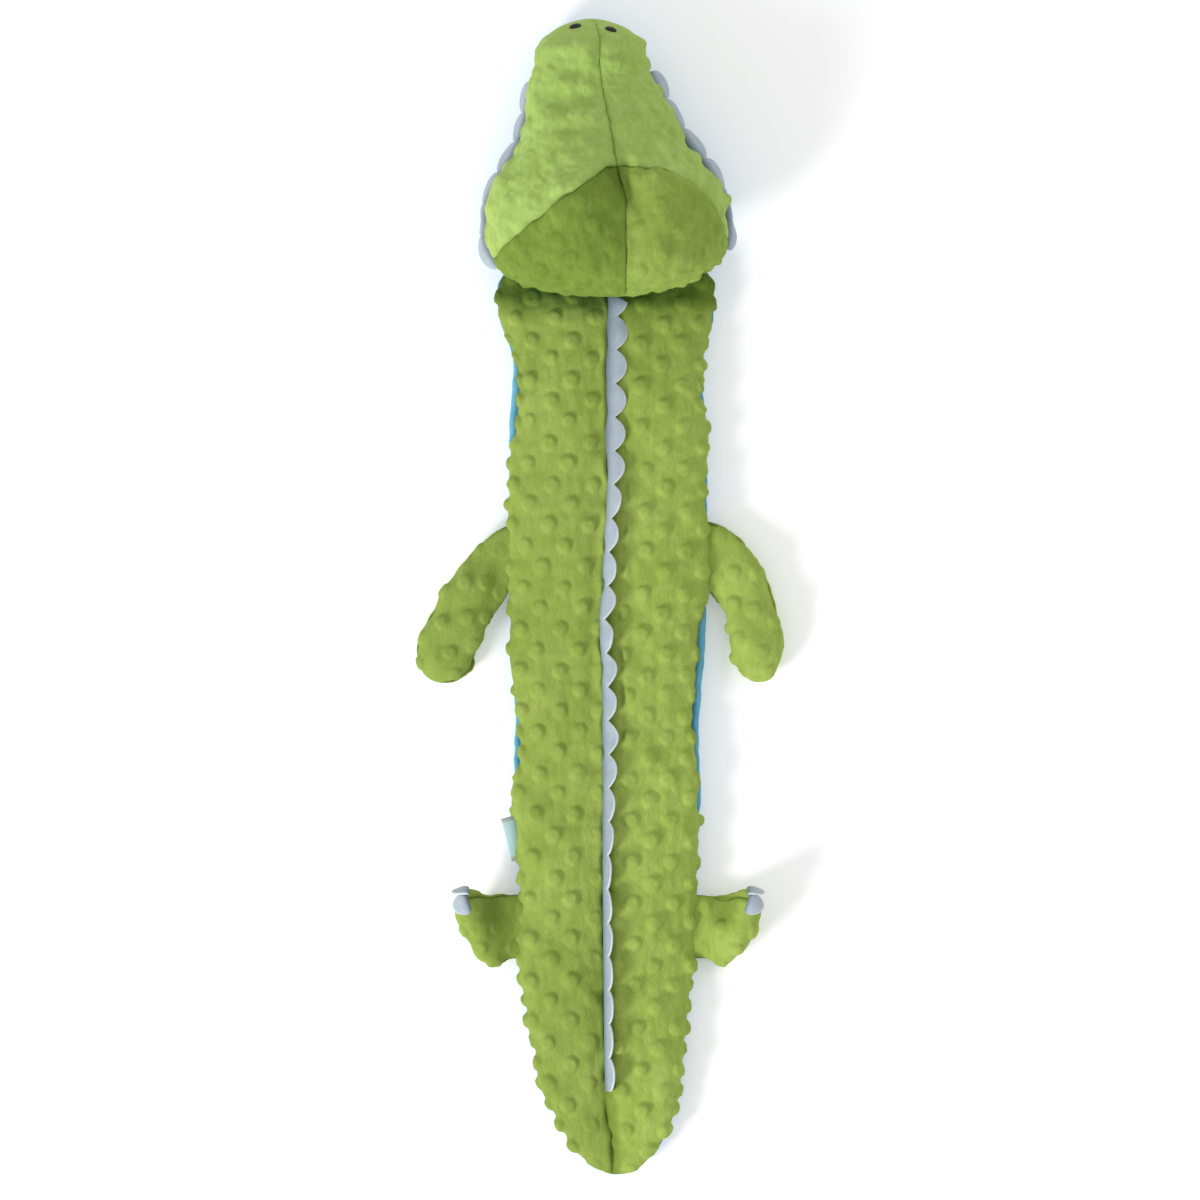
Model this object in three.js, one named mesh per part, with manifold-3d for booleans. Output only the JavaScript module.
// A long, flat, lightly stuffed plush crocodile with squeakers inside, lying on its belly.
// Millimetres. +Y points to the nose, -Y to the tail, +X to the toy's right, +Z up.
// The origin is on the surface that the belly lies on, at the middle of the trunk.

import * as THREE from 'three';
import { mergeVertices } from 'three/addons/utils/BufferGeometryUtils.js';
import Module from 'manifold-3d';

const wasm = await Module();
wasm.setup();

// Driving dimensions

const fabric = 1.4;             // plush or fleece with its pile
const felt = 1.6;               // felt of the ridge, teeth and claws
const gap = 0.4;                // play between a skin and the wadding under it
const seamGap = 0.2;            // half of the open line between two sewn panels

const neckY = 226;              // front edge of the trunk, under the head
const tailY = -375.7;           // tip of the tail
const trunkSeamHeight = 12;     // height of the side seams above the floor
const trunkRise = 15.5;         // from the side seams up to the back
const trunkHalfWidth = 65;
const shoulderRound = 30;       // the first stretch, which rounds off to the neck seam
const tailTaper = 110;          // the last stretch, which rounds off to the tip
const spineX = -3.2;            // the centre seam runs a little to the left of the middle

// A stage changes a size by so much between two places. On the trunk they are heights along Y.
const shoulderFlare = { by: 6.2, from: 152, to: 188 };
const shoulderShift = { by: -1.6, from: 150, to: 190 };
const chestDip = { by: -3.6, at: 143, width: 27 };
const waistTaper = { by: -4.5, from: 20, to: -85 };
const rumpTaper = { by: -4.5, from: -130, to: -235 };
const tailNarrowing = { by: -5.5, from: -235, to: -300 };
const tailDrift = { by: 5.8, from: -305, to: -352 };
const neckSlope = { by: -9, from: neckY - 50, to: neckY };
const tailSlope = { by: -6, from: -290, to: -370 };
const chinLift = { by: -7, from: neckY - 22, to: neckY };

// The head. Its stages are along its length, from 0 at the nose to 1 at its back.
const noseY = 375.7;
const headLength = 181.3;
const noseX = -11;              // the snout points a little to the left
const noseHalfWidth = 36.5;
const noseRise = 33;
const noseHeight = 26;          // of the mouth line
const noseRound = 0.12;
const backRound = 0.24;
const snoutDrift = { by: 10.2, from: 0.15, to: 0.56 };
const snoutFlare = { by: 12, from: 0.12, to: 0.42 };
const cheekFlare = { by: 31, from: 0.33, to: 0.71 };
const mouthRise = { by: 11, from: 0.1, to: 0.75 };
const mouthEndRise = { by: 10, from: 0.75, to: 1 };
const crownRise = { by: 24, from: 0.2, to: 0.64 };
const jawBack = { from: 0.71, to: 0.84, drop: 17 };
const headSeamX = 5.8;          // the centre seam runs to the right of the head's middle
const headSeamTurn = { by: 6.8, from: 0.5, to: 0.68 };
const browShare = 0.54;         // where the two brows meet the centre seam
const browLeft = { by: 0.33, power: 1 };
const browRight = { by: 0.27, power: 5 };

const scallopPitch = 21.9;      // one tooth of the felt edging
const scallopDepth = 7;
const ridgeBand = 7.4;          // plain band of the ridge below its scallops
const ridgeFront = 193;
const firstCusp = 182.6;        // first notch behind the ridge's front end
const ridgeScallops = 24;
const ridgeLift = 0.5;          // the ridge's sewn edge above the centre seam
const ridgeFold = 10;           // degrees above level, in front
const ridgeUnfold = { by: 54, from: -70, to: -190 };

const toothStrips = [           // ends of the tooth strips, as shares of the head's length
  { name: 'left', front: 0.229, back: 0.889 },
  { name: 'right', front: 0.19, back: 0.828 },
];
const toothCount = 6;
const toothBand = 2.5;
const toothDepth = 8;
const toothDroop = 64;          // degrees below level, at the snout
const toothHang = { by: 12, from: 0.36, to: 0.66 };
const toothClear = 1.1;         // between the strip's root and the skin

const nostrils = [
  { name: 'left', side: -0.46, share: 0.034 },
  { name: 'right', side: 0.49, share: 0.046 },
];
const nostrilRadii = [3.6, 2.2];
const nostrilDepths = [0.35, 1.2];
const eyeShare = 0.6;
const eyeAngle = 0.14;          // just above the mouth line, out of sight from above
const eyeRadius = 6.5;
const eyeDepths = [0.35, 1.1];
const pupilDepths = [1.5, 2.1];

const limbRoot = 2.6;           // half of a limb's thickness at its sewn root
const armRootX = trunkHalfWidth + 3.4;    // a thin seam allowance lies between
const armRise = { by: 9.4, from: 0, to: 0.48 };
const armDrop = { by: 8.4, from: 0, to: 0.4 };
const armSink = { by: -1.5, from: 0, to: 0.4 };
const arms = [
  {
    name: 'arm_left',
    root: new THREE.Vector2(-armRootX, 20.8),
    bend: new THREE.Vector2(-97.6, -1),
    tip: new THREE.Vector2(-111.4, -55.3),
    halfWidths: [24.4, 19.6],
  },
  {
    name: 'arm_right',
    root: new THREE.Vector2(armRootX, 24.2),
    bend: new THREE.Vector2(97.2, 11.5),
    tip: new THREE.Vector2(98.6, -55.3),
    halfWidths: [24.6, 18],
  },
];
const footRootX = 60.2;
const footRootY = -214.5;
const footReach = 39.4;
const footHalfWidth = 21;
const footSpread = { by: 1.6, from: 0, to: 0.4 };
const footBack = { by: -2, from: 0, to: 0.4 };
const footForward = { by: 12.5, from: 0.4, to: 1 };
const toeRise = { by: 13, from: 0.2, to: 1 };
const instepRise = { by: 9.4, from: -0.05, to: 0.5 };
const heelDrop = { by: 13.4, from: -0.05, to: 0.5 };
const toeTilt = { by: 0.35, from: 0.3, to: 1 };
const seamTwist = { by: 55, from: 0.25, to: 0.9 };   // degrees round the section
const clawWidth = 15;
const clawDepth = 11.5;
const clawAim = 18;             // degrees towards the tail from straight out
const clawClear = 0.5;          // between a claw and the skin
const upperClaw = { angle: 1.1, share: 0.76 };
const frontClaw = { angle: -0.1, share: 0.8 };

const tagX = -62.4;             // root of the side tag, just off the left side seam
const tagY = -159;
const tagLength = 28.6;
const tagReach = 7.6;
const tagThick = 0.8;           // half of the folded ribbon's thickness
const tagFold = 0.25;           // half of the space between its two layers

const squeakers = [
  { name: 'chest', x: 0, y: 96, floor: fabric + 0.3, radius: 19, height: 20, body: 'trunk' },
  { name: 'rump', x: 0, y: -118, floor: fabric + 0.3, radius: 19, height: 20, body: 'trunk' },
  { name: 'head', x: -1, y: 278, floor: fabric + 0.8, radius: 22, height: 32, body: 'head' },
];
const pocketPlay = 1.6;         // between a squeaker and the pocket in the wadding

// Colours and finishes of the materials

const green = { color: 0x93b353, roughness: 0.95, metalness: 0 };
const blue = { color: 0x2fa6c8, roughness: 0.95, metalness: 0 };
const paleFelt = { color: 0xb9ccd0, roughness: 0.95, metalness: 0 };
const wadding = { color: 0xeeeeea, roughness: 1, metalness: 0 };
const thread = { color: 0x16191a, roughness: 0.6, metalness: 0 };
const ribbon = { color: 0xb5dfdc, roughness: 0.7, metalness: 0 };
const softPlastic = { color: 0xf2f0e8, roughness: 0.45, metalness: 0 };
const reedPlastic = { color: 0xe9a13b, roughness: 0.4, metalness: 0 };

// Small maths

const clamp = THREE.MathUtils.clamp;
const lerp = THREE.MathUtils.lerp;
const radians = THREE.MathUtils.degToRad;
const signedPower = (value, power) => Math.sign(value) * Math.abs(value) ** power;
const wrap = (angle) => Math.atan2(Math.sin(angle), Math.cos(angle));
const hump = (value, centre, width) => Math.exp(-(((value - centre) / width) ** 2));

// A smooth step from 0 to 1, which may also run downwards, and a stage of a size.
function smooth(value, from, to) {
  const share = clamp((value - from) / (to - from), 0, 1);
  return share * share * (3 - 2 * share);
}

const stage = (value, { by, from, to }) => by * smooth(value, from, to);

// A rounded end: 0 at the tip, 1 once the distance from the tip reaches the length.
function roundEnd(distance, length, power) {
  const left = 1 - clamp(distance / length, 0, 1);
  return (1 - left ** power) ** (1 / power);
}

// Stations along a form, closer together in its two rounded ends.
function stations(startLength, startSteps, middleSteps, endLength, endSteps) {
  const list = [];
  for (let i = 0; i < startSteps; i += 1) {
    list.push(startLength * (1 - Math.cos((Math.PI / 2) * (i / startSteps))));
  }
  for (let i = 0; i < middleSteps; i += 1) {
    list.push(lerp(startLength, 1 - endLength, i / middleSteps));
  }
  for (let i = 0; i <= endSteps; i += 1) {
    list.push(1 - endLength * (1 - Math.sin((Math.PI / 2) * (i / endSteps))));
  }
  const pinhole = 0.0015;       // the skins stay a hair open at each tip
  list[0] = startSteps ? pinhole : 0;
  list[list.length - 1] = endSteps ? 1 - pinhole : 1;
  return list;
}

// Forms: each gives a point of its skin for an angle around the section (0 at the +side edge,
// a quarter turn on top) and a share of the length, at a depth below the outer surface.

function formPoint(form, angle, share, inset) {
  const frame = form.frame(share, inset);
  const endStart = form.startCap(share);
  const endStop = form.endCap(share);
  const close = endStart * endStop;
  const leastReach = 0.3;
  const width = (form.halfWidth(share) - inset) * close;
  const across = Math.cos(angle);
  const upper = Math.sin(angle) >= 0;
  const power = 2 / (upper ? form.crownPower : form.bellyPower);
  const side = signedPower(across, power);
  const lift = Math.abs(Math.sin(angle)) ** power;
  const reach = (upper ? form.rise(share) : form.drop(share)) - inset;
  const relief = upper ? form.relief(side, share) : 1;
  const swell = seamGap + Math.max(reach, leastReach) * lift * close * relief;
  let z = frame.height + (upper ? swell : -swell);
  z += form.tilt(share) * side * width;
  return new THREE.Vector3(
    frame.x + frame.sideX * width * side,
    frame.y + frame.sideY * width * side,
    Math.max(z, inset),
  );
}

const none = () => 0;
const whole = () => 1;

function seamAngle(form, side) {
  return Math.acos(signedPower(side, form.crownPower / 2));
}

// The trunk runs from the neck (share 0) to the tip of the tail (share 1).

const trunkLength = neckY - tailY;
const trunkY = (share) => lerp(neckY, tailY, share);
const trunkX = (share) => stage(trunkY(share), tailDrift) + stage(trunkY(share), shoulderShift);
const trunk = {
  crownPower: 2.3,
  bellyPower: 3,
  frame(share, inset) {
    const y = lerp(neckY - inset, tailY + inset, share);
    return { x: trunkX(share), y, sideX: 1, sideY: 0, height: trunkSeamHeight };
  },
  halfWidth(share) {
    const y = trunkY(share);
    const swell = stage(y, shoulderFlare) + chestDip.by * hump(y, chestDip.at, chestDip.width);
    const taper = stage(y, waistTaper) + stage(y, rumpTaper) + stage(y, tailNarrowing);
    return trunkHalfWidth + swell + taper;
  },
  rise: (share) => trunkRise + stage(trunkY(share), neckSlope) + stage(trunkY(share), tailSlope),
  drop: (share) => trunkSeamHeight + 0.5 + stage(trunkY(share), chinLift),
  startCap: (share) => roundEnd(share * trunkLength, shoulderRound, 2.7),
  endCap: (share) => roundEnd((1 - share) * trunkLength, tailTaper, 2),
  relief(side, share) {
    const centre = (spineX - trunkX(share)) / this.halfWidth(share);
    return 1 - 0.14 * hump(side, centre, 0.13) + 0.05 * hump(Math.abs(side - centre), 0.5, 0.3);
  },
  tilt: none,
};

// The angle of a lengthwise seam that runs so far to the side of the form's middle line.
function lineAngle(form, share, offset) {
  const half = form.halfWidth(share) * form.startCap(share) * form.endCap(share);
  return seamAngle(form, clamp(offset / half, -0.6, 0.6));
}

const spineAngle = (share) => lineAngle(trunk, share, spineX - trunkX(share));

// The head runs from the nose (share 0) to its back (share 1), over the front of the trunk.

const head = {
  crownPower: 2.2,
  bellyPower: 4,
  frame(share, inset) {
    const y = lerp(noseY - inset, noseY - headLength + inset, share);
    const height = noseHeight + stage(share, mouthRise) + stage(share, mouthEndRise);
    return { x: noseX + stage(share, snoutDrift), y, sideX: 1, sideY: 0, height };
  },
  halfWidth: (share) => noseHalfWidth + stage(share, snoutFlare) + stage(share, cheekFlare),
  rise: (share) => noseRise + stage(share, crownRise),
  drop(share) {
    const toFloor = this.frame(share, 0).height + 0.5;
    return lerp(toFloor, jawBack.drop, smooth(share, jawBack.from, jawBack.to));
  },
  startCap: (share) => roundEnd(share, noseRound, 1.7),
  endCap: (share) => roundEnd(1 - share, backRound, 2.2),
  relief(side, share) {
    const cleft = 0.05 + 0.13 * hump(share, browShare + 0.03, 0.12);
    const lobes = 0.09 * hump(share, 0.64, 0.14) * hump(Math.abs(side - 0.12), 0.42, 0.24);
    return 1 - cleft * hump(side, headSeamOffset(share) / this.halfWidth(share), 0.17) + lobes;
  },
  tilt: none,
};

function headSeamOffset(share) {
  return headSeamX * smooth(share, -0.06, 0.1) + stage(share, headSeamTurn);
}

const headSeamAngle = (share) => lineAngle(head, share, headSeamOffset(share));

// The brow seam crosses the head, and comes further back at its sides.
function browSeam(angle) {
  const across = Math.cos(angle);
  const leftEnd = browShare + browLeft.by;
  const rightEnd = browShare + browRight.by;
  if (Math.sin(angle) < 0) return lerp(leftEnd, rightEnd, (1 + across) / 2);
  const side = signedPower(across, 2 / head.crownPower);
  const brow = side < 0 ? browLeft : browRight;
  return browShare + brow.by * Math.abs(side) ** brow.power;
}

// The arms sweep along a bent line in plan, from a thin root sewn along the side seam to a
// round mitten. Their sections turn evenly, so that they don't cross inside the bend.

function sweptLimb(root, bend, tip, halfWidths) {
  const line = new THREE.QuadraticBezierCurve(root, bend, tip);
  const length = line.getLength();
  const rootWay = root.x > 0 ? 0 : Math.PI;
  const tipWay = line.getTangent(1).angle();
  return {
    crownPower: 2.2,
    bellyPower: 2.8,
    frame(share, inset) {
      const along = lerp(inset / length, 1 - inset / length, share);
      const at = line.getPoint(along);
      const way = rootWay + wrap(tipWay - rootWay) * share;
      const height = trunkSeamHeight + stage(share, armSink);
      return { x: at.x, y: at.y, sideX: -Math.sin(way), sideY: Math.cos(way), height };
    },
    halfWidth: (share) => lerp(halfWidths[0], halfWidths[1], smooth(share, 0, 0.55)),
    rise: (share) => limbRoot + stage(share, armRise),
    drop: (share) => limbRoot + stage(share, armDrop),
    startCap: whole,
    endCap: (share) => roundEnd((1 - share) * length, halfWidths[1], 2.1),
    relief: whole,
    tilt: none,
  };
}

// The feet stand out from the side seams, heel on the floor and toes turned up.

function footForm(sign) {
  return {
    crownPower: 2.2,
    bellyPower: 2.6,
    frame(share, inset) {
      const out = lerp(inset, footReach - inset, share);
      const y = footRootY + stage(share, footBack) + stage(share, footForward);
      const height = trunkSeamHeight + stage(share, toeRise);
      return { x: sign * (footRootX + out), y, sideX: 0, sideY: 1, height };
    },
    halfWidth: (share) => footHalfWidth + stage(share, footSpread),
    rise: (share) => limbRoot + stage(share, instepRise),
    drop: (share) => limbRoot + stage(share, heelDrop),
    startCap: whole,
    endCap: (share) => roundEnd(1 - share, 0.5, 1.9),
    relief: (side, share) => 1 - 0.3 * hump(share, 0.3, 0.2) * hump(side, 0.6, 0.5),
    tilt: (share) => stage(share, toeTilt),
  };
}

// Meshes

function solidGeometry(points, faces) {
  const position = new Float32Array(faces.length * 9);
  faces.flat().forEach((index, i) => points[index].toArray(position, i * 3));
  const geometry = new THREE.BufferGeometry();
  geometry.setAttribute('position', new THREE.BufferAttribute(position, 3));
  return outward(dropSlivers(mergeVertices(geometry, 1e-4)));
}

function dropSlivers(geometry) {
  const index = geometry.index.array;
  const kept = [];
  for (let i = 0; i < index.length; i += 3) {
    const [a, b, c] = index.slice(i, i + 3);
    if (a !== b && b !== c && c !== a) kept.push(a, b, c);
  }
  geometry.setIndex(kept);
  return geometry;
}

function outward(geometry) {
  const index = geometry.index.array;
  const at = geometry.attributes.position;
  const corner = [new THREE.Vector3(), new THREE.Vector3(), new THREE.Vector3()];
  let volume = 0;
  for (let i = 0; i < index.length; i += 3) {
    corner.forEach((point, k) => point.fromBufferAttribute(at, index[i + k]));
    volume += corner[0].dot(corner[1].clone().cross(corner[2]));
  }
  if (volume < 0) {
    const flipped = [];
    for (let i = 0; i < index.length; i += 3) flipped.push(index[i], index[i + 2], index[i + 1]);
    geometry.setIndex(flipped);
  }
  return geometry;
}

// A skin: a grid of points on the outer surface, the same grid below it, and a rim all round.
function skin(rows, columns, point, outer, inner) {
  const points = [];
  for (const depth of [outer, inner]) {
    for (let i = 0; i <= rows; i += 1) {
      for (let j = 0; j <= columns; j += 1) points.push(point(i, j, depth));
    }
  }
  const wide = columns + 1;
  const below = (rows + 1) * wide;
  const faces = [];
  const quad = (a, b, c, d) => faces.push([a, b, c], [a, c, d]);
  for (let i = 0; i < rows; i += 1) {
    for (let j = 0; j < columns; j += 1) {
      const a = i * wide + j;
      quad(a, a + 1, a + wide + 1, a + wide);
      quad(below + a, below + a + wide, below + a + wide + 1, below + a + 1);
    }
  }
  for (let j = 0; j < columns; j += 1) {
    const last = rows * wide + j;
    quad(j, below + j, below + j + 1, j + 1);
    quad(last, last + 1, below + last + 1, below + last);
  }
  for (let i = 0; i < rows; i += 1) {
    const left = i * wide;
    const right = left + columns;
    quad(left, left + wide, below + left + wide, below + left);
    quad(right, below + right, below + right + wide, right + wide);
  }
  return solidGeometry(points, faces);
}

// A filled form: rings of points, closed by a middle point at each end.
function filled(rings) {
  const points = rings.flat();
  const around = rings[0].length;
  const faces = [];
  for (let i = 0; i < rings.length - 1; i += 1) {
    for (let j = 0; j < around; j += 1) {
      const a = i * around + j;
      const b = i * around + ((j + 1) % around);
      faces.push([a, b, b + around], [a, b + around, a + around]);
    }
  }
  for (const ring of [0, rings.length - 1]) {
    const middle = new THREE.Vector3();
    rings[ring].forEach((point) => middle.addScaledVector(point, 1 / around));
    points.push(middle);
    const centre = points.length - 1;
    for (let j = 0; j < around; j += 1) {
      const a = ring * around + j;
      const b = ring * around + ((j + 1) % around);
      faces.push(ring ? [a, b, centre] : [b, a, centre]);
    }
  }
  return solidGeometry(points, faces);
}

function toManifold(geometry) {
  const bare = geometry.clone();
  bare.deleteAttribute('normal');
  bare.deleteAttribute('uv');
  const merged = mergeVertices(bare, 1e-4);
  return new wasm.Manifold(new wasm.Mesh({
    numProp: 3,
    vertProperties: new Float32Array(merged.attributes.position.array),
    triVerts: new Uint32Array(merged.index.array),
  }));
}

function fromManifold(solid) {
  const mesh = solid.getMesh();
  const geometry = new THREE.BufferGeometry();
  geometry.setAttribute('position', new THREE.BufferAttribute(mesh.vertProperties, 3));
  geometry.setIndex(Array.from(mesh.triVerts));
  return geometry;
}

function cut(geometry, tools) {
  let solid = toManifold(geometry);
  for (const tool of tools) solid = solid.subtract(toManifold(tool));
  return fromManifold(solid);
}

const crocodile = new THREE.Group();

function add(name, geometry, finish) {
  geometry.computeVertexNormals();
  const mesh = new THREE.Mesh(geometry, new THREE.MeshStandardMaterial(finish));
  mesh.name = name;
  crocodile.add(mesh);
}

// Angles between two seams, a hair short of each, and the same angles for the wadding.

function between(from, to, steps) {
  const nudge = 0.006;
  const start = from + Math.sign(to - from) * nudge;
  const stop = to - Math.sign(to - from) * nudge;
  return (column) => lerp(start, stop, column / steps);
}

function upperHalf(side, seam, steps) {
  return side === 'right' ? between(0, seam, steps) : between(seam, Math.PI, steps);
}

function ringOf(form, quarters, shareAt, inset) {
  const ring = [];
  for (const quarter of quarters) {
    for (let j = 0; j <= quarter.steps; j += 1) {
      const angle = quarter.angle(j);
      ring.push(formPoint(form, angle, shareAt(angle), inset));
    }
  }
  return ring;
}

// Squeaker: a springy blown bellows between a cap and a base, with a reed in the base.

function squeakerPocket({ x, y, radius, height }, top) {
  const tall = top ?? height + 60;
  const pocket = new THREE.CylinderGeometry(radius + pocketPlay, radius + pocketPlay, tall, 20);
  pocket.rotateX(Math.PI / 2);
  pocket.translate(x, y, top ? top / 2 : 0);
  return pocket;
}

function turned(profile, sides) {
  const geometry = new THREE.LatheGeometry(profile.map(([r, z]) => new THREE.Vector2(r, z)), sides);
  geometry.rotateX(Math.PI / 2);
  geometry.deleteAttribute('normal');
  geometry.deleteAttribute('uv');
  return outward(dropSlivers(mergeVertices(geometry, 1e-4)));
}

function addSqueaker({ name, x, y, floor, radius, height }) {
  const sides = 12;
  const plate = 1.5;
  const wall = 0.9;
  const folds = 3;
  const reedBore = 4;
  const reedLength = 5;
  const play = 0.3;
  const baseTop = floor + 2 * plate;
  const capBottom = floor + height - 2 * plate;
  const place = (geometry) => geometry.translate(x, y, 0);

  const base = turned([
    [reedBore, floor], [radius, floor], [radius, floor + plate],
    [radius - 3, baseTop], [reedBore, baseTop], [reedBore, floor],
  ], sides);
  add(`${name}_squeaker_base`, place(base), softPlastic);

  const cap = turned([
    [0, capBottom], [radius - 3, capBottom], [radius, capBottom + plate],
    [radius - 1, floor + height], [0, floor + height + 0.8],
  ], sides);
  add(`${name}_squeaker_cap`, place(cap), softPlastic);

  const low = baseTop + play;
  const tall = capBottom - play - low;
  const rim = radius - 3.4;
  const outerLine = [[rim, low]];
  for (let i = 0; i < folds; i += 1) {
    outerLine.push([radius, low + (tall * (i + 0.5)) / folds]);
    outerLine.push([i < folds - 1 ? rim - 0.6 : rim, low + (tall * (i + 1)) / folds]);
  }
  const innerLine = outerLine.map(([r, z]) => [r - wall * 1.4, z]).reverse();
  const bellows = turned([...outerLine, ...innerLine, outerLine[0]], sides);
  add(`${name}_squeaker_bellows`, place(bellows), softPlastic);

  const reed = turned([
    [1.2, floor], [reedBore - play, floor], [reedBore - play, baseTop + reedLength * 0.6],
    [2.2, baseTop + reedLength], [1.2, baseTop + reedLength], [1.2, floor],
  ], 10);
  add(`${name}_squeaker_reed`, place(reed), reedPlastic);
}

// Scalloped felt edging: a strip that stands on a line, each station with its own outward way.

function scallop(turns) {
  const phase = turns - Math.floor(turns);
  return Math.sqrt(Math.max(0, 1 - (2 * phase - 1) ** 2));
}

function feltStrip(places, edge) {
  return skin(1, places.length - 1, (row, column, side) => {
    const { at, way, face, depth } = edge(places[column]);
    return at.clone().addScaledVector(way, row * depth).addScaledVector(face, side);
  }, felt / 2, -felt / 2);
}

// Trunk and tail

const trunkColumns = 6;
const bellyColumns = 8;
const trunkShares = stations(shoulderRound / trunkLength, 4, 15, tailTaper / trunkLength, 8);
const trunkRows = trunkShares.length - 1;

for (const side of ['left', 'right']) {
  add(`back_panel_${side}`, skin(trunkRows, trunkColumns, (row, column, depth) => {
    const share = trunkShares[row];
    const angle = upperHalf(side, spineAngle(share), trunkColumns)(column);
    return formPoint(trunk, angle, share, depth);
  }, 0, fabric), green);
}

add('belly_panel', skin(trunkRows, bellyColumns, (row, column, depth) => {
  const share = trunkShares[row];
  return formPoint(trunk, between(Math.PI, 2 * Math.PI, bellyColumns)(column), share, depth);
}, 0, fabric), blue);

const trunkRings = trunkShares.map((share) => {
  const spine = spineAngle(share);
  return ringOf(trunk, [
    { steps: trunkColumns, angle: between(0, spine, trunkColumns) },
    { steps: trunkColumns, angle: between(spine, Math.PI, trunkColumns) },
    { steps: bellyColumns, angle: between(Math.PI, 2 * Math.PI, bellyColumns) },
  ], () => share, fabric + gap);
});
const trunkPockets = squeakers.filter(({ body }) => body === 'trunk');
add('body_wadding', cut(filled(trunkRings), trunkPockets.map((s) => squeakerPocket(s))), wadding);

// Spine ridge: folded over to the right in front, standing up along the tail

const ridgeSteps = 5;

function ridgePlaces() {
  const places = [ridgeFront];
  for (let i = 0; i <= ridgeScallops * ridgeSteps; i += 1) {
    const y = firstCusp + scallopPitch - (i / ridgeSteps) * scallopPitch;
    if (y < ridgeFront - 1) places.push(y);
  }
  return places;
}

add('spine_ridge', feltStrip(ridgePlaces(), (y) => {
  const share = (neckY - y) / trunkLength;
  const at = formPoint(trunk, spineAngle(share), share, 0);
  at.z += ridgeLift + felt / 2;
  const fold = radians(ridgeFold + stage(y, ridgeUnfold));
  return {
    at,
    way: new THREE.Vector3(Math.cos(fold), 0, Math.sin(fold)),
    face: new THREE.Vector3(-Math.sin(fold), 0, Math.cos(fold)),
    depth: ridgeBand + scallopDepth * scallop((firstCusp - y) / scallopPitch + 1e-6),
  };
}), paleFelt);

// Side tag: a folded ribbon loop from the left side seam

const tagShape = new THREE.Shape();
tagShape.moveTo(0, tagThick);
tagShape.lineTo(tagReach, tagThick);
tagShape.absarc(tagReach, 0, tagThick, Math.PI / 2, -Math.PI / 2, true);
tagShape.lineTo(0, -tagThick);
tagShape.lineTo(0, -tagFold);
tagShape.lineTo(tagReach, -tagFold);
tagShape.absarc(tagReach, 0, tagFold, -Math.PI / 2, Math.PI / 2, false);
tagShape.lineTo(0, tagFold);
tagShape.closePath();
const tag = new THREE.ExtrudeGeometry(tagShape, {
  depth: tagLength, bevelEnabled: false, curveSegments: 4,
});
tag.deleteAttribute('normal');
tag.deleteAttribute('uv');
tag.rotateX(Math.PI / 2);
tag.scale(-1, 1, 1);
tag.translate(tagX, tagY + tagLength / 2, trunkSeamHeight);
add('side_tag', outward(mergeVertices(tag, 1e-4)), ribbon);

// Head

const crownColumns = 7;
const jawColumns = 8;
const crownRows = stations(0.24, 4, 6, 0, 0);
const backRows = stations(0, 0, 3, 0.6, 5);
const browGap = seamGap / headLength;

const crownShare = (row) => (angle) => crownRows[row] * (browSeam(angle) - browGap);
const backShare = (row) => (angle) => lerp(browSeam(angle) + browGap, 1, backRows[row]);
const headShares = [
  ...crownRows.map((_, row) => crownShare(row)),
  ...backRows.map((_, row) => backShare(row)),
];
const centreSeam = (shareAt) => headSeamAngle(shareAt(Math.PI / 2));

function headPoint(angle, shareAt, depth) {
  return formPoint(head, angle, shareAt(angle), depth);
}

for (const side of ['left', 'right']) {
  const panel = (rows, shareOfRow) => skin(rows, crownColumns, (row, column, depth) => {
    const shareAt = shareOfRow(row);
    const angle = upperHalf(side, centreSeam(shareAt), crownColumns)(column);
    return headPoint(angle, shareAt, depth);
  }, 0, fabric);
  add(`crown_panel_${side}`, panel(crownRows.length - 1, crownShare), green);
  add(`head_back_panel_${side}`, panel(backRows.length - 1, backShare), green);
}

add('jaw_panel', skin(headShares.length - 1, jawColumns, (row, column, depth) => {
  const angle = between(Math.PI, 2 * Math.PI, jawColumns)(column);
  return headPoint(angle, headShares[row], depth);
}, 0, fabric), blue);

const headRings = headShares.map((shareAt) => {
  const seam = centreSeam(shareAt);
  return ringOf(head, [
    { steps: crownColumns, angle: between(0, seam, crownColumns) },
    { steps: crownColumns, angle: between(seam, Math.PI, crownColumns) },
    { steps: jawColumns, angle: between(Math.PI, 2 * Math.PI, jawColumns) },
  ], shareAt, fabric + gap);
});
const headPocket = squeakers.find(({ body }) => body === 'head');
const pocketTop = headPocket.floor + headPocket.height + 4;
add('head_wadding', cut(filled(headRings), [squeakerPocket(headPocket, pocketTop)]), wadding);

// Teeth: the same felt edging in the seam between the snout and the jaw

const toothSteps = 6;

for (const { name, front, back } of toothStrips) {
  const angle = name === 'left' ? Math.PI : 0;
  const places = Array.from({ length: toothCount * toothSteps + 1 }, (_, i) => (
    lerp(front, back, i / (toothCount * toothSteps))
  ));
  add(`teeth_${name}`, feltStrip(places, (share) => {
    const at = formPoint(head, angle, share, -toothClear);
    const ahead = formPoint(head, angle, share - 0.01, -toothClear);
    const along = ahead.sub(at).normalize();
    const out = new THREE.Vector3(along.y, -along.x, 0).normalize();
    if (name === 'left') out.negate();
    const droop = radians(toothDroop + stage(share, toothHang));
    const way = out.multiplyScalar(Math.cos(droop)).setZ(-Math.sin(droop));
    const turns = ((share - front) / (back - front)) * toothCount;
    return {
      at,
      way,
      face: along.clone().cross(way).normalize(),
      depth: toothBand + toothDepth * scallop(turns),
    };
  }), paleFelt);
}

// Nostrils and eyes: small rounds laid on the skin

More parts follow.
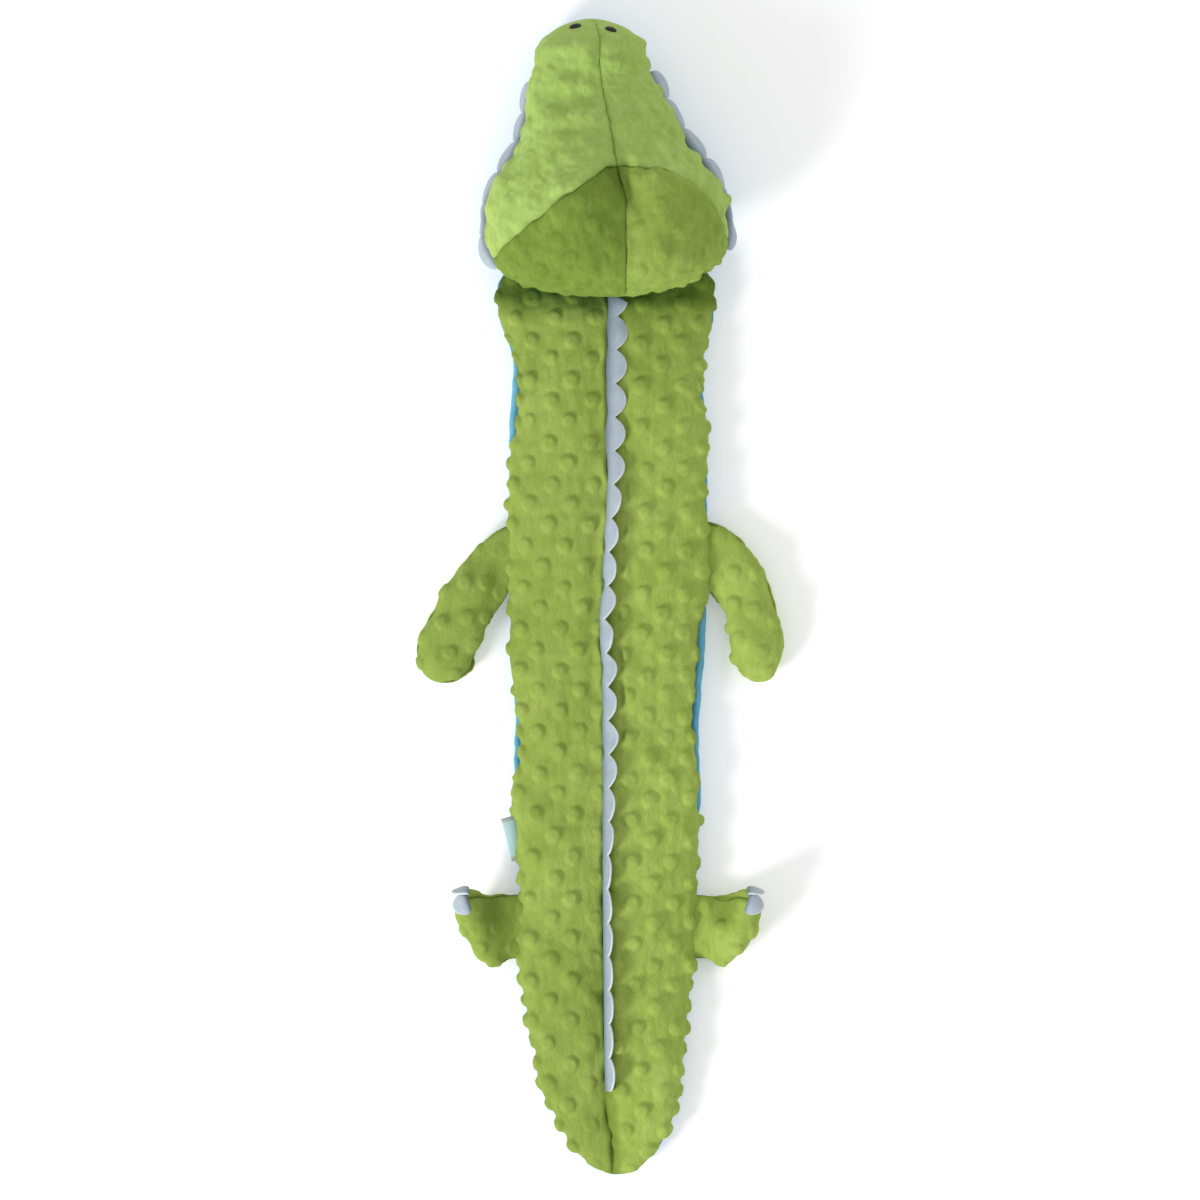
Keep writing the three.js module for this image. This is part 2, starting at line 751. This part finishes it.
function roundOn(form, angle, share, across, along, depths, sides = 14) {
  const nudge = 0.01;
  const centre = formPoint(form, angle, share, 0);
  const perAngle = formPoint(form, angle + nudge, share, 0).distanceTo(centre) / nudge;
  const perShare = formPoint(form, angle, share + nudge, 0).distanceTo(centre) / nudge;
  const ring = (size, depth) => Array.from({ length: sides }, (_, i) => {
    const turn = (2 * Math.PI * i) / sides;
    const a = angle + (size * across * Math.cos(turn)) / perAngle;
    const s = share + (size * along * Math.sin(turn)) / perShare;
    return formPoint(form, a, s, depth);
  });
  const [low, high] = depths;
  return filled([ring(0.5, -low), ring(1, -low), ring(1, -high), ring(0.5, -high - 0.2)]);
}

for (const nostril of nostrils) {
  const angle = seamAngle(head, nostril.side);
  add(`nostril_${nostril.name}`,
    roundOn(head, angle, nostril.share, ...nostrilRadii, nostrilDepths), thread);
}

for (const [side, angle] of [['left', Math.PI - eyeAngle], ['right', eyeAngle]]) {
  const eyeRound = (radius, depths) => roundOn(head, angle, eyeShare, radius, radius, depths);
  add(`eye_white_${side}`, eyeRound(eyeRadius, eyeDepths), paleFelt);
  add(`eye_pupil_${side}`, eyeRound(eyeRadius * 0.5, pupilDepths), thread);
}

// Arms and feet: two panels each over a wadding core

function addLimb(name, form, shares, columns, twist) {
  const rows = shares.length - 1;
  const isLeft = name.includes('left');
  const half = (start, row, column) => {
    const from = start + twist(shares[row]);
    const ends = isLeft ? [from + Math.PI, from] : [from, from + Math.PI];
    return between(...ends, columns)(column);
  };
  const starts = isLeft ? [Math.PI, 0] : [0, Math.PI];
  for (const [panel, start] of [['top', 0], ['bottom', Math.PI]]) {
    add(`${name}_${panel}_panel`, skin(rows, columns, (row, column, depth) => (
      formPoint(form, half(start, row, column), shares[row], depth)
    ), 0, fabric), green);
  }
  const rings = shares.map((share, row) => ringOf(form, starts.map((start) => (
    { steps: columns, angle: (column) => half(start, row, column) }
  )), () => share, fabric + gap));
  add(`${name}_wadding`, filled(rings), wadding);
}

const armShares = stations(0, 0, 5, 0.22, 4);
for (const arm of arms) {
  const form = sweptLimb(arm.root, arm.bend, arm.tip, arm.halfWidths);
  addLimb(arm.name, form, armShares, 7, none);
}

const footShares = stations(0, 0, 4, 0.5, 5);
const footTwist = (share) => radians(stage(share, seamTwist));

function halfOval(width, depth) {
  const shape = new THREE.Shape();
  shape.moveTo(-width / 2, 0);
  shape.lineTo(width / 2, 0);
  shape.absellipse(0, 0, width / 2, depth, 0, Math.PI, false, 0);
  shape.closePath();
  return shape;
}

// A claw lies flat on the toe, root first, and points outwards past it.
function clawOn(form, sign, { angle, share }) {
  const clear = -(felt / 2 + clawClear);
  const at = formPoint(form, angle, share, clear);
  const outwards = formPoint(form, angle, share + 0.05, clear).sub(at);
  const around = formPoint(form, angle + 0.15, share, clear).sub(at);
  const up = new THREE.Vector3().crossVectors(outwards, around).multiplyScalar(sign).normalize();
  const aim = radians(clawAim);
  const way = new THREE.Vector3(sign * Math.cos(aim), -Math.sin(aim), 0);
  way.projectOnPlane(up).normalize();
  const plate = new THREE.ExtrudeGeometry(halfOval(clawWidth, clawDepth), {
    depth: felt, bevelEnabled: false, curveSegments: 6,
  });
  plate.deleteAttribute('normal');
  plate.deleteAttribute('uv');
  plate.translate(0, 0, -felt / 2);
  const side = new THREE.Vector3().crossVectors(way, up).normalize();
  plate.applyMatrix4(new THREE.Matrix4().makeBasis(side, way, up).setPosition(at));
  return outward(dropSlivers(mergeVertices(plate, 1e-4)));
}

for (const [side, sign] of [['left', -1], ['right', 1]]) {
  const form = footForm(sign);
  addLimb(`foot_${side}`, form, footShares, 6, footTwist);
  add(`claw_upper_${side}`, clawOn(form, sign, upperClaw), paleFelt);
  add(`claw_front_${side}`, clawOn(form, sign, frontClaw), paleFelt);
}

for (const squeaker of squeakers) addSqueaker(squeaker);

export default crocodile;
